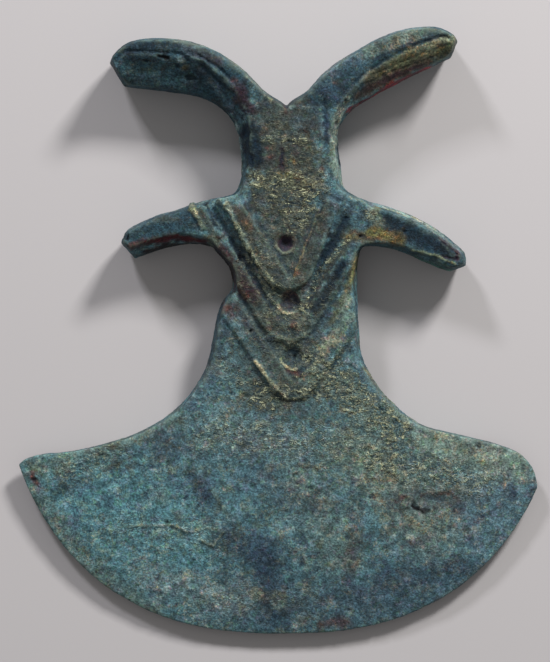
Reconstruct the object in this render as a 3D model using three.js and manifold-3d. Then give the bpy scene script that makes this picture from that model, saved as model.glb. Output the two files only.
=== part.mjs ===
// A bronze axe head, cast in one piece: a crescent blade, a waist carved with three nested chevrons
// and three dimples, a pair of side arms, a neck, and a pair of horns at the butt.
//
// Millimetres. The casting is built about its parting plane, z = 0, with X across the blade, the
// horns towards +Y and the cutting edge towards -Y. It is then laid on its flat back, and its
// origin is set on the floor under the middle of its outline.

import * as THREE from 'three';
import { mergeVertices } from 'three/addons/utils/BufferGeometryUtils.js';
import Module from 'manifold-3d';

const wasm = await Module();
wasm.setup();

const { degToRad, lerp, smoothstep } = THREE.MathUtils;

// ---- Driving dimensions --------------------------------------------------------------------

// The two faces are flat and close up like a wedge, from the horns down to the blade.
const BUTT = { y: 88, halfThickness: 9.5 };
const FOOT = { y: -88, halfThickness: 2.9 };

// The cutting edge follows a superellipse, and the blade thins towards it all the way round. Above
// the waist nothing is thinned: a block `ALL_ROUND` wide takes in all of the casting there.
const EDGE = { x: -1.5, y: 10, halfWidth: 83.4, halfHeight: 98.4, power: 2.43, corners: 144 };
const EDGE_THINNING = [
  { inset: 0, halfThickness: 0.5 },
  { inset: 7, halfThickness: 1.6 },
  { inset: 22, halfThickness: 3.4 },
  { inset: 50, halfThickness: 7.5 },
];
const UNTHINNED_ABOVE_Y = -2;
const ALL_ROUND = 200;

// The trunk is neck, shoulders, waist and blade. Its two flanks run down from the butt.
const LEFT_FLANK = [
  [-4, 63], [-11, 61], [-13.9, 56.5], [-13.4, 51], [-13.5, 44.5], [-15.4, 39.8], [-19.4, 38.5],
  [-24, 37.2], [-25.4, 30], [-21.6, 23.6], [-17.4, 18.6], [-16.1, 14.2], [-16.4, 11.6],
  [-18.9, 8.6], [-20.7, 3.5], [-22, -3.5], [-24.4, -12.2], [-30.4, -20.8], [-39, -27.6],
  [-50.5, -32.4], [-64, -35.4], [-74.6, -36.8], [-78.6, -39.6], [-80.5, -50], [-81, -95],
];
const RIGHT_FLANK = [
  [4, 63], [11, 61], [14, 56.5], [14.7, 52], [15.4, 46.5], [16.3, 41.4], [19.6, 38.8],
  [24.2, 36.8], [25.6, 30], [21.4, 23.6], [20.3, 19], [20.2, 14.2], [20.2, 11.6],
  [20.4, 5], [20.7, -0.5], [21.2, -6.5], [24.2, -13.2], [30.2, -20.8], [38, -27.2],
  [49.5, -30.4], [60, -32.9], [67.5, -36], [71.6, -41], [73, -50], [81, -95],
];
const TRUNK_SECTIONS = 76;
const TRUNK_BEVELS = {
  left: [[0, 3.4], [0.09, 2.6], [0.16, 1.3], [0.24, 2], [0.42, 2.3], [0.6, 1.3], [1, 0.9]],
  right: [[0, 2], [0.09, 1.8], [0.16, 1.6], [0.24, 1.8], [0.42, 1.6], [0.6, 1.3], [1, 0.9]],
};
const BACK_BEVEL = 1.4;

// Each horn and arm runs out from its root between an upper and a lower edge. Its front is a flat
// band with a facet below it that slopes back to the lower edge, and a groove may part the two.
// `rise` is how far the band stands above the wedge, and `draft` how far it is set in from the edge.
const LEFT_HORN = {
  upper: [
    [4, 59.5], [-0.6, 65], [-6.8, 69.2], [-10.6, 73.2], [-14.6, 76.7], [-22.4, 81.5], [-31.8, 84.1],
    [-42.8, 84.2], [-47.4, 82.6], [-50.4, 79.8], [-51.5, 77.2],
  ],
  lower: [
    [-10, 50], [-13.6, 55.4], [-15.2, 59.2], [-19.4, 64.2], [-25.4, 67.2], [-35, 68.8], [-43, 69.8],
    [-47.4, 70.4],
  ],
  sections: 30,
  facet: { root: 3.2, tip: 11.2, fullAt: 0.62, drop: 5.2 },
  groove: { halfWidth: 0.9, depth: 0.7 },
  rise: { root: -0.3, tip: 0.4, fullAt: 0.35 },
  draft: 0.9,
};
const RIGHT_HORN = {
  upper: [
    [-4, 59.5], [0.4, 65.6], [5.8, 69.4], [9.6, 73.9], [13.6, 77.1], [20.8, 81.5], [27, 84.8],
    [32.8, 86.8], [39, 87.8], [44.6, 87.2], [48.4, 84.9], [49, 83.6],
  ],
  lower: [
    [10, 50], [13.8, 55.6], [15.2, 59.4], [18.8, 63.8], [25, 67.6], [32.6, 71.7], [40.4, 75.5],
    [47.2, 78.8],
  ],
  sections: 30,
  facet: { root: 2.4, tip: 7.9, fullAt: 0.68, drop: 4.6 },
  groove: { halfWidth: 0.8, depth: 0.7 },
  rise: { root: -0.3, tip: 0.4, fullAt: 0.35 },
  draft: 0.9,
};
const LEFT_ARM = {
  upper: [
    [-23.4, 37.8], [-27, 36.7], [-32.6, 34.7], [-37.2, 33.5], [-42.4, 31.3], [-46.8, 28.7],
    [-48.4, 25.2],
  ],
  lower: [[-18.6, 22.4], [-22, 24.1], [-29, 24.9], [-35, 23.8], [-40.2, 22.2], [-44.2, 20.6]],
  sections: 18,
  facet: { root: 2.8, tip: 4, fullAt: 0.4, drop: 4.8 },
  groove: { halfWidth: 0.4, depth: 0 },
  rise: { root: 0.7, tip: 0.5, fullAt: 1 },
  draft: 0.9,
};
const RIGHT_ARM = {
  upper: [
    [23.4, 37.2], [27, 36.4], [34, 34], [41.4, 30.3], [48.8, 24.7], [51.6, 21.8], [51.6, 18.6],
  ],
  lower: [[18.8, 22.4], [22, 24.1], [28.6, 23.8], [35.8, 21.4], [43.2, 18.2], [47, 16.8]],
  sections: 18,
  facet: { root: 1.4, tip: 2.4, fullAt: 0.5, drop: 4 },
  groove: { halfWidth: 0.4, depth: 0 },
  rise: { root: 0.7, tip: 0.5, fullAt: 1 },
  draft: 1.5,
};
const LOWER_DRAFT = 0.9;
const TIP_DRAFT = 1;
const LEAST_BAND = 0.4;

// A groove deepens along its limb, from nothing at the first share of the length to full depth at
// the second. Its lower lip sits a little below its upper one.
const GROOVE_OPENS = [0.2, 0.45];
const GROOVE_LIP_DROP = 0.2;

// Three raised chevrons stand on the front of the waist, one inside the next. `foot` is the lowest
// point of the inner edge, and `radii` round the foot inside and out. Each limb, left then right,
// has its own lean from upright, its own length and its own width. The lower ones are shallower.
const CHEVRONS = [
  {
    foot: [1.2, 15.4], radii: [0.8, 8], rise: 1.4,
    lean: [32, 21.5], reach: [34, 24.5], width: [6.3, 5],
  },
  {
    foot: [0.2, 2.2], radii: [4.2, 9.6], rise: 0.8,
    lean: [31.5, 31.5], reach: [46, 46], width: [5.4, 5.4],
  },
  {
    foot: [2.2, -14.2], radii: [1.5, 7.8], rise: 0.7,
    lean: [34, 35.5], reach: [40, 36], width: [6.8, 5.6],
  },
];
const HIGHEST_RISE = Math.max(...CHEVRONS.map(({ rise }) => rise));
const CHEVRON_ROOT = 2.5;
const CHEVRON_SLOPE = 0.7;
const CHEVRON_HEADROOM = 2;

// A dimple is sunk above the foot of each chevron: a dished floor inside a steeper rim. `floor` is
// the radius of the dish, and `DISH` is the share of the depth at which the dish begins.
const DIMPLES = [
  { x: -0.6, y: 25, radius: 2.6, floor: 1.3, depth: 1.7 },
  { x: 0.6, y: 8.3, radius: 3.2, floor: 2.3, depth: 1.3 },
  { x: 1.7, y: -7.6, radius: 3.2, floor: 2, depth: 1.1 },
];
const DIMPLE_SIDES = 28;
const DISH = 0.8;
const DIMPLE_FLARE = 0.5;
const DIMPLE_HEADROOM = 1;

const BRONZE = new THREE.MeshStandardMaterial({ color: 0x4c6663, roughness: 0.72, metalness: 0.35 });

// ---- The wedge of the two faces ------------------------------------------------------------

/** Half the thickness of the casting at the height `y`. */
function halfThickness(y) {
  const share = (y - FOOT.y) / (BUTT.y - FOOT.y);
  return lerp(FOOT.halfThickness, BUTT.halfThickness, share);
}

/** A point on the parting plane. */
const onParting = (point) => new THREE.Vector3(point.x, point.y, 0);

/** A point `rise` above the front face. */
const onFront = (point, rise = 0) => new THREE.Vector3(point.x, point.y, halfThickness(point.y) + rise);

/** A point on the back face. */
const onBack = (point) => new THREE.Vector3(point.x, point.y, -halfThickness(point.y));

// ---- Solids --------------------------------------------------------------------------------

// Corners closer than this are one corner.
const WELD = 1e-5;

/** A closed geometry as a solid that can be joined and cut, whichever way its faces wind. */
function solidOf(geometry) {
  const bare = geometry.clone();
  bare.deleteAttribute('normal');
  bare.deleteAttribute('uv');
  const merged = mergeVertices(bare, WELD);
  const vertProperties = new Float32Array(merged.attributes.position.array);
  const triVerts = new Uint32Array(merged.index.array);
  const corner = (i) => new THREE.Vector3().fromArray(vertProperties, 3 * triVerts[i]);
  let volume = 0;
  for (let i = 0; i < triVerts.length; i += 3) {
    volume += corner(i).dot(corner(i + 1).cross(corner(i + 2))) / 6;
  }
  if (volume < 0) {
    triVerts.reverse();
  }
  return new wasm.Manifold(new wasm.Mesh({ numProp: 3, vertProperties, triVerts }));
}

/** A solid as a geometry with flat-shaded faces. */
function geometryOf(solid) {
  const mesh = solid.getMesh();
  const geometry = new THREE.BufferGeometry();
  geometry.setAttribute('position', new THREE.BufferAttribute(mesh.vertProperties, 3));
  geometry.setIndex(new THREE.BufferAttribute(mesh.triVerts, 1));
  geometry.computeVertexNormals();
  return geometry;
}

/** Joins several solids into one. */
const joined = (solids) => solids.reduce((whole, solid) => whole.add(solid));

/** The solid through a row of sections that all have the same number of corners. */
function loft(sections) {
  const corners = sections[0].length;
  const steps = sections.length - 1;
  const turn = (2 * Math.PI) / corners;
  const outline = new THREE.Shape();
  for (let corner = 0; corner < corners; corner += 1) {
    const x = Math.cos(corner * turn);
    const y = Math.sin(corner * turn);
    if (corner === 0) {
      outline.moveTo(x, y);
    } else {
      outline.lineTo(x, y);
    }
  }
  outline.closePath();
  const prism = new THREE.ExtrudeGeometry(outline, { depth: 1, steps, bevelEnabled: false });
  const position = prism.attributes.position;
  for (let i = 0; i < position.count; i += 1) {
    const angle = Math.atan2(position.getY(i), position.getX(i));
    const corner = (Math.round(angle / turn) + corners) % corners;
    const step = Math.round(position.getZ(i) * steps);
    position.setXYZ(i, ...sections[step][corner].toArray());
  }
  return solidOf(prism);
}

/** A smooth line through points given as [x, y]. */
function lineThrough(points) {
  const knots = points.map(([x, y]) => new THREE.Vector3(x, y, 0));
  return new THREE.CatmullRomCurve3(knots, false, 'centripetal');
}

/** The value at `share` of a run of [share, value] stops, straight between them. */
function between(stops, share) {
  const next = Math.max(1, stops.findIndex(([at]) => at >= share));
  const [[from, low], [to, high]] = [stops[next - 1], stops[next]];
  return lerp(low, high, (share - from) / (to - from));
}

// ---- Trunk: neck, shoulders, waist and blade -----------------------------------------------

/** The trunk, with its front face lifted by `lift`. */
function trunk(lift = 0) {
  const left = lineThrough(LEFT_FLANK);
  const right = lineThrough(RIGHT_FLANK);
  const sections = [];
  for (let i = 0; i <= TRUNK_SECTIONS; i += 1) {
    const share = i / TRUNK_SECTIONS;
    const a = left.getPoint(share);
    const b = right.getPoint(share);
    const inward = b.clone().sub(a).normalize();
    const fromLeft = (inset) => a.clone().addScaledVector(inward, inset);
    const fromRight = (inset) => b.clone().addScaledVector(inward, -inset);
    sections.push([
      onParting(a),
      onFront(fromLeft(between(TRUNK_BEVELS.left, share)), lift),
      onFront(fromRight(between(TRUNK_BEVELS.right, share)), lift),
      onParting(b),
      onBack(fromRight(BACK_BEVEL)),
      onBack(fromLeft(BACK_BEVEL)),
    ]);
  }
  return loft(sections);
}

/** One level of the thinning: the outline of the edge drawn in by `inset`, at the height `z`. */
function edgeSection(inset, z) {
  const scale = 1 - inset / EDGE.halfHeight;
  const section = [];
  for (let i = 0; i < EDGE.corners; i += 1) {
    const angle = (2 * Math.PI * i) / EDGE.corners;
    const round = (value) => Math.sign(value) * Math.abs(value) ** (2 / EDGE.power);
    const x = EDGE.x + scale * EDGE.halfWidth * round(Math.cos(angle));
    const y = EDGE.y + scale * EDGE.halfHeight * round(Math.sin(angle));
    section.push(new THREE.Vector3(x, y, z));
  }
  return section;
}

/** The lens-shaped space that the blade keeps to, open above the waist. */
function edgeLens() {
  const front = EDGE_THINNING.map(({ inset, halfThickness: z }) => edgeSection(inset, z));
  const back = EDGE_THINNING.map(({ inset, halfThickness: z }) => edgeSection(inset, -z));
  const above = new THREE.BoxGeometry(ALL_ROUND, ALL_ROUND, ALL_ROUND);
  above.translate(0, UNTHINNED_ABOVE_Y + ALL_ROUND / 2, 0);
  return loft([...back.reverse(), ...front]).add(solidOf(above));
}

// ---- Horns and arms ------------------------------------------------------------------------

/** A horn or an arm, from its root inside the trunk out to its blunt tip. */
function limb({ upper, lower, sections: count, facet, groove, rise, draft }) {
  const upperEdge = lineThrough(upper);
  const lowerEdge = lineThrough(lower);
  const sections = [];
  for (let i = 0; i <= count; i += 1) {
    const share = i / count;
    const a = upperEdge.getPointAt(share);
    const b = lowerEdge.getPointAt(share);
    const down = b.clone().sub(a).normalize();
    const inward = new THREE.Vector3(down.y, -down.x, 0).multiplyScalar(Math.sign(b.x));
    const shift = inward.multiplyScalar(i === count ? TIP_DRAFT : 0);
    const fromUpper = (inset) => a.clone().addScaledVector(down, inset).add(shift);
    const fromLower = (inset) => b.clone().addScaledVector(down, -inset).add(shift);
    const room = a.distanceTo(b) - draft - groove.halfWidth - LEAST_BAND;
    const width = Math.min(room, lerp(facet.root, facet.tip, smoothstep(share, 0, facet.fullAt)));
    const lift = lerp(rise.root, rise.tip, smoothstep(share, 0, rise.fullAt));
    const open = i === count ? 0 : smoothstep(share, ...GROOVE_OPENS);
    sections.push([
      onParting(a),
      onFront(fromUpper(draft), lift),
      onFront(fromLower(width + groove.halfWidth), lift),
      onFront(fromLower(width), lift - groove.depth * open),
      onFront(fromLower(width - groove.halfWidth), lift - GROOVE_LIP_DROP * open),
      onFront(fromLower(LOWER_DRAFT), lift - facet.drop),
      onParting(b),
      onBack(fromLower(BACK_BEVEL)),
      onBack(fromUpper(BACK_BEVEL)),
    ]);
  }
  return loft(sections);
}

// ---- Carving on the front of the waist -----------------------------------------------------

/** The centre of a circle that touches both sides of a V, each `offsets` away from `corner`. */
function touching(corner, normals, offsets, radius) {
  const [[ax, ay], [bx, by]] = normals;
  const [a, b] = offsets.map((offset) => offset - radius);
  const across = ax * by - ay * bx;
  return [corner[0] + (a * by - b * ay) / across, corner[1] + (b * ax - a * bx) / across];
}

/** The outline of a chevron band: a V whose foot is rounded inside and out. */
function chevronShape({ foot, radii, lean, reach, width }) {
  const [inner, outer] = radii;
  const centre = [foot[0], foot[1] + inner];
  const angles = [Math.PI + degToRad(lean[0]), 2 * Math.PI - degToRad(lean[1])];
  const normals = angles.map((angle) => [Math.cos(angle), Math.sin(angle)]);
  const offsets = [inner + width[0], inner + width[1]];
  const outerCentre = touching(centre, normals, offsets, outer);
  const end = (side, offset, run) => [
    centre[0] + offset * normals[side][0] + run * normals[side][1],
    centre[1] + offset * normals[side][1] - run * normals[side][0],
  ];
  const shape = new THREE.Shape();
  shape.moveTo(...end(0, inner, reach[0]));
  shape.lineTo(...end(0, offsets[0], reach[0]));
  shape.absarc(...outerCentre, outer, ...angles, false);
  shape.lineTo(...end(1, offsets[1], -reach[1]));
  shape.lineTo(...end(1, inner, -reach[1]));
  shape.absarc(...centre, inner, angles[1], angles[0], true);
  shape.closePath();
  return shape;
}

/** Lifts a flat form, built on z = 0, on to the sloping front face. */
function laidOnFront(geometry) {
  const position = geometry.attributes.position;
  for (let i = 0; i < position.count; i += 1) {
    position.setZ(i, position.getZ(i) + halfThickness(position.getY(i)));
  }
  return geometry;
}

/** A raised chevron with sloping sides, rooted in the face. */
function chevron(form) {
  const geometry = new THREE.ExtrudeGeometry(chevronShape(form), {
    depth: CHEVRON_ROOT,
    bevelThickness: form.rise,
    bevelSize: CHEVRON_SLOPE,
    bevelOffset: -CHEVRON_SLOPE,
    bevelSegments: 1,
    curveSegments: 10,
  });
  geometry.translate(0, 0, -CHEVRON_ROOT);
  return solidOf(laidOnFront(geometry));
}

/** The cutter of a dimple. It stands well above the face, so it cuts through a chevron's edge too. */
function dimple({ x, y, radius, floor, depth }) {
  const top = HIGHEST_RISE + DIMPLE_HEADROOM;
  const profile = [
    new THREE.Vector2(0, -depth),
    new THREE.Vector2(floor, -depth * DISH),
    new THREE.Vector2(radius, 0),
    new THREE.Vector2(radius + DIMPLE_FLARE, top),
    new THREE.Vector2(0, top),
  ];
  const geometry = new THREE.LatheGeometry(profile, DIMPLE_SIDES);
  geometry.rotateX(Math.PI / 2);
  geometry.translate(x, y, 0);
  return solidOf(laidOnFront(geometry));
}

// ---- The whole casting ---------------------------------------------------------------------

/** The casting about its parting plane. */
function casting() {
  const body = trunk().intersect(edgeLens());
  const chevrons = joined(CHEVRONS.map(chevron)).intersect(trunk(HIGHEST_RISE + CHEVRON_HEADROOM));
  const limbs = [LEFT_HORN, RIGHT_HORN, LEFT_ARM, RIGHT_ARM].map(limb);
  return joined([body, chevrons, ...limbs]).subtract(joined(DIMPLES.map(dimple)));
}

/** Lays a casting on its flat back, with the origin under the middle of its outline. */
function laidOnItsBack(geometry) {
  const slope = (BUTT.halfThickness - FOOT.halfThickness) / (BUTT.y - FOOT.y);
  geometry.rotateX(Math.atan(slope));
  geometry.computeBoundingBox();
  const { min, max } = geometry.boundingBox;
  geometry.translate(-(min.x + max.x) / 2, -(min.y + max.y) / 2, -min.z);
  return geometry;
}

const axeHead = new THREE.Mesh(laidOnItsBack(geometryOf(casting())), BRONZE);
axeHead.name = 'axe_head';

const group = new THREE.Group();
group.add(axeHead);

export default group;
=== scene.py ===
"""A bronze axe head under a blue-green patina, lying on its back on a pale floor.

The casting keeps the form of its CAD solid. Geometry Nodes raise the corrosion on it and mark where
each kind of patina lies, and one finish reads those marks. Strokes and noise are in millimetres.
"""
import logging
import math
from dataclasses import astuple, dataclass, field, fields

import bmesh
import bpy
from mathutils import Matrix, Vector


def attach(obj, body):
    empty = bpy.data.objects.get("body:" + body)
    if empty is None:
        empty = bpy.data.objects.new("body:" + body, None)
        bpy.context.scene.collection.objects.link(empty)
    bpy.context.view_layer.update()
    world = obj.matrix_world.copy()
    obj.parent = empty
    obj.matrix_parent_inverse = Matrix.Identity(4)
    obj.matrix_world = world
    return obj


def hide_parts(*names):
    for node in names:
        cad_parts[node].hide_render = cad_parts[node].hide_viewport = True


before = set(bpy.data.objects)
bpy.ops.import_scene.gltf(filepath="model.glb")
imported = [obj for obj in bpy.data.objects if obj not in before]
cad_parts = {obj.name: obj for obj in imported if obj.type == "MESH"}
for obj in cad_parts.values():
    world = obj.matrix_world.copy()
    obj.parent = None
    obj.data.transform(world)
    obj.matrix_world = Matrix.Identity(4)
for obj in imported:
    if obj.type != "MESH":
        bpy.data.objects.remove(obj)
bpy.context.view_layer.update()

LOG = logging.getLogger("axe_head")
PER_METRE = 1000.0
SEED_STEP = (31.7, 17.3, 23.9)
ARC_STEPS = 4

Colour = tuple[float, float, float, float]
Point = tuple[float, float]
Socket = bpy.types.NodeSocket
Given = Socket | float | tuple[float, ...]
Plug = tuple[str, str]  # The name and the kind of an input or output.


def linear(*levels: float) -> Colour:
    """Turns a colour as a display shows it into a scene-linear one.

    Args:
        *levels: Its red, green and blue, from 0 to 255.

    Returns:
        The linear red, green and blue, and a full alpha.
    """
    shares = [level / 255.0 for level in levels]
    lit = [s / 12.92 if s <= 0.04045 else ((s + 0.055) / 1.055) ** 2.4 for s in shares]
    return (*lit, 1.0)


# The colours that the patina is made of.
TEAL = linear(79, 117, 126)
AQUA = linear(146, 176, 166)
STEEL = linear(90, 120, 134)
MIST = linear(122, 152, 154)
MINT = linear(130, 152, 136)
SAGE = linear(100, 122, 112)
SLATE = linear(66, 92, 106)
NAVY = linear(46, 70, 88)
DEEP = linear(29, 49, 64)
PINE = linear(35, 63, 76)
SEA = linear(91, 143, 153)
INK = linear(6, 28, 44)
AUBERGINE = linear(38, 18, 34)
SEA_GREEN = linear(76, 128, 110)
VIOLET_GREY = linear(96, 106, 130)
PEAT = linear(57, 67, 64)
OLIVE = linear(84, 89, 70)
SAND = linear(112, 120, 102)
CREAM = linear(182, 186, 150)
STRAW = linear(134, 136, 76)
OCHRE = linear(88, 82, 46)
PLUM = linear(54, 32, 46)
UMBER = linear(78, 66, 56)
RUST = linear(76, 42, 38)
PUCE = linear(60, 44, 55)
MOSS = linear(66, 81, 77)
LICHEN = linear(112, 122, 92)
CRIMSON = linear(136, 34, 46)
DARK_RED = linear(70, 14, 26)
# A near-black for painted shade on walls and undersides that face away from the lamps.
PAINTED_SHADE = linear(26, 20, 26)
BLACK = linear(22, 24, 26)


def over_teal(tone: Colour) -> Colour:
    """A tone as a multiple of teal, so that it can tint light and dark alike."""
    return tuple(mine / teal for mine, teal in zip(tone, TEAL))


@dataclass(frozen=True)
class Stroke:
    """A rounded stroke on the front of the casting, from one point to another.

    `amount` is a share of colour or crust, or a height in millimetres, as the list it is in says, and
    `fade` is the share of the radius over which it fades out.
    """

    name: str
    start: Point
    end: Point
    radius: float
    amount: float
    tone: Colour
    fade: float


def path(name: str, points: tuple[Point, ...], radius: float, amount: float,
         tone: Colour = TEAL, fade: float = 0.9) -> tuple[Stroke, ...]:
    """Strokes end to end along a bent line, with `radius` half its width."""
    return tuple(Stroke(name, *ends, radius, amount, tone, fade) for ends in zip(points, points[1:]))


def spot(name: str, at: Point, radius: float, amount: float, tone: Colour = TEAL,
         fade: float = 0.9) -> tuple[Stroke, ...]:
    """A round spot: a stroke of no length."""
    return path(name, (at, at), radius, amount, tone, fade)


def arc(middle: Point, reach: float, start: float, end: float) -> tuple[Point, ...]:
    """Points along an arc.

    Args:
        middle: The middle of its circle.
        reach: The radius of its circle.
        start: Where it starts, in degrees anticlockwise from the right.
        end: Where it ends.

    Returns:
        The points.
    """
    steps = [step / ARC_STEPS for step in range(ARC_STEPS + 1)]
    angles = [math.radians(start + (end - start) * step) for step in steps]
    return tuple((middle[0] + reach * math.cos(a), middle[1] + reach * math.sin(a)) for a in angles)


UPPER_DIMPLE = (2.1, 25.3)
MIDDLE_DIMPLE = (3.2, 8.6)
LOWER_DIMPLE = (4.4, -7.6)
RIGHT_CREST = ((11.7, 34.8), (4.9, 16))
LOWER_CREST = ((-6.8, -8.4), (-0.1, -17), (2.7, -19.4))
RIGHT_ARM_CREST = ((38.6, 23.4), (44.8, 21.9), (51, 19.3))
CRUST_LINE = ((-42.5, -56.6), (-30.6, -56.1), (-26.4, -58.1), (-20.5, -57))
CRUST_LOOP = ((-20.5, -57), (-15.9, -58.3), (-18.8, -62), (-21.8, -60.8), (-23, -58.7))

# Broad fields of colour first, then the smaller stains that lie on them.
BLADE_STAINS = (
    *path("left", ((-60, -46), (-30, -62)), 26, 0.75, SEA),
    *path("foot", ((-12, -78), (34, -80)), 15, 0.6, SLATE),
    *path("right", ((44, -58), (62, -50)), 20, 0.6, STEEL),
    *path("mossy right", ((20, -34), (44, -60)), 13, 0.6, SAGE),
    *path("sage middle", ((6, -44), (18, -64)), 12, 0.5, SAGE),
    *path("upper left edge", ((-70, -40), (-30, -26)), 5, 0.5, SAGE),
    *path("olive left edge", ((-71, -46), (-56, -68)), 5, 0.5, SAGE),
    *path("tan line", ((-50.2, -40.4), (-42.5, -36.6)), 1.1, 0.5, UMBER),
    *spot("green by left corner", (-62, -45), 5, 0.7, PINE),
    *spot("bloom by left corner", (-64.3, -40.6), 1.6, 0.6, MINT),
    *path("upper right edge", ((42, -31), (69, -39)), 9, 0.7, MINT),
    *path("pale lower left", ((-38, -71), (-12, -79)), 8, 0.55, MIST),
    *path("green lower left edge", ((-52, -70), (-36, -82)), 4, 0.5, SAGE),
    *path("navy below middle", ((-14, -60), (-4, -66), (-1, -82)), 8, 0.8, NAVY),
    *spot("pale cake left of foot", (-6.6, -76.5), 3.4, 0.7, SAGE, 0.5),
    *spot("pale cake right of foot", (0.6, -77.6), 3.6, 0.6, SAGE, 0.5),
    *spot("slate left shoulder", (-32.4, -33), 8, 0.85, SLATE, 0.8),
    *path("navy left of middle", ((-25, -42), (-20, -50)), 5, 0.75, NAVY),
    *spot("sage patch left of middle", (-34, -47.8), 4, 0.5, SAGE, 0.8),
    *spot("tan patch", (-28.8, -53.6), 2.2, 0.45, SAND, 0.8),
    *path("slate above middle", ((-6, -40), (6, -52)), 7, 0.5, SLATE),
    *path("navy round pits", ((34, -48), (52, -50)), 7, 0.75, NAVY),
    *path("pale right", ((28, -36), (46, -52)), 13, 0.35, MINT),
    *path("blue run at lower right", ((32, -72), (56, -70)), 7, 0.7, NAVY),
    *path("brown under middle", ((20, -68), (23, -60)), 5, 0.35, UMBER),
    *path("dark right foot", ((20, -78), (44, -76)), 7, 0.6, SLATE),
    *path("rust at foot", ((13, -85), (20, -84.4)), 2.2, 0.6, RUST, 0.8),
    *path("rust chip at left corner", ((-71.6, -42), (-70, -44.4)), 1.6, 0.9, RUST, 0.7),
    *path("teal below waist", ((-16, -24), (4, -34)), 10, 0.35, MIST),
    *path("cream", CRUST_LINE, 0.5, 0.55, MINT),
    *path("loop", CRUST_LOOP, 0.45, 0.6, MINT),
)
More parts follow.
